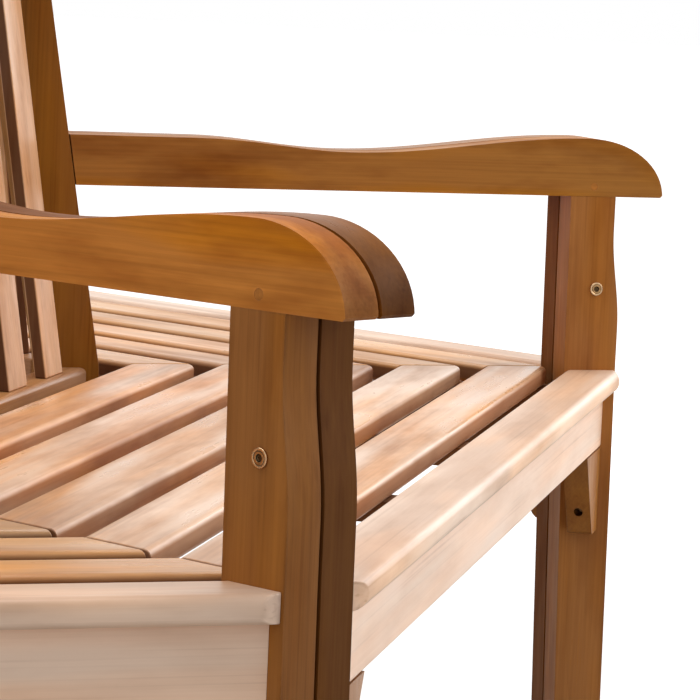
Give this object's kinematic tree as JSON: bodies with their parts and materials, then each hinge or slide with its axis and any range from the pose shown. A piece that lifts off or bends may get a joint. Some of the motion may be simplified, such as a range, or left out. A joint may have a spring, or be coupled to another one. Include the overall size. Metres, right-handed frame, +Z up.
{
  "type": "garden tree bench",
  "caption": "Slatted hardwood garden bench in mitred seats that bend round a tree, with shaped flat armrests, raked slatted backs and brass connector bolts.",
  "frame": {"origin": "middle of the footprint on the ground, halfway between the free end legs and the tips of the middle armrests", "axes": "+Z up; +X along the middle seat, to the right of someone standing in front of it; the middle seat faces -Y and the trunk stands on the +Y side"},
  "size_m": [2.3592, 1.0344, 0.87],
  "materials": {
    "seat_wood": "oiled, fine straight grain, soft sheen",
    "frame_wood": "oiled, fine straight grain, satin",
    "back_wood": "oiled, fine straight grain, satin",
    "under_wood": "sawn and oiled, dull",
    "peg_wood": "turned, end grain",
    "brass": "bronzed, lightly tarnished"
  },
  "bodies": {
    "root": {"seat_1_slat_1": "seat_wood", "seat_1_slat_2": "seat_wood", "seat_1_slat_3": "seat_wood", "seat_1_slat_4": "seat_wood", "seat_1_slat_5": "seat_wood", "seat_1_front_slat": "seat_wood", "seat_1_apron": "seat_wood", "seat_1_battens": "under_wood", "seat_1_side_rails": "under_wood", "seat_1_leg_left": "frame_wood", "seat_1_leg_right": "frame_wood", "seat_1_arm_left": "frame_wood", "seat_1_arm_right": "frame_wood", "seat_1_post_left": "frame_wood", "seat_1_post_right": "frame_wood", "seat_1_back_rail": "back_wood", "seat_1_crest_rail": "back_wood", "seat_1_back_slats": "back_wood", "seat_2_slat_1": "seat_wood", "seat_2_slat_2": "seat_wood", "seat_2_slat_3": "seat_wood", "seat_2_slat_4": "seat_wood", "seat_2_slat_5": "seat_wood", "seat_2_front_slat": "seat_wood", "seat_2_apron": "seat_wood", "seat_2_battens": "under_wood", "seat_2_side_rails": "under_wood", "seat_2_leg_left": "frame_wood", "seat_2_leg_right": "frame_wood", "seat_2_arm_left": "frame_wood", "seat_2_arm_right": "frame_wood", "seat_2_post_left": "frame_wood", "seat_2_post_right": "frame_wood", "seat_2_back_rail": "back_wood", "seat_2_crest_rail": "back_wood", "seat_2_back_slats": "back_wood", "seat_3_slat_1": "seat_wood", "seat_3_slat_2": "seat_wood", "seat_3_slat_3": "seat_wood", "seat_3_slat_4": "seat_wood", "seat_3_slat_5": "seat_wood", "seat_3_front_slat": "seat_wood", "seat_3_apron": "seat_wood", "seat_3_battens": "under_wood", "seat_3_side_rails": "under_wood", "seat_3_leg_left": "frame_wood", "seat_3_leg_right": "frame_wood", "seat_3_arm_left": "frame_wood", "seat_3_arm_right": "frame_wood", "seat_3_post_left": "frame_wood", "seat_3_post_right": "frame_wood", "seat_3_back_rail": "back_wood", "seat_3_crest_rail": "back_wood", "seat_3_back_slats": "back_wood", "corner_braces": "under_wood", "brace_screws": "brass", "arm_pegs": "peg_wood", "connector_bolts": "brass", "sleeve_nuts": "brass"}
  },
  "joints": []
}
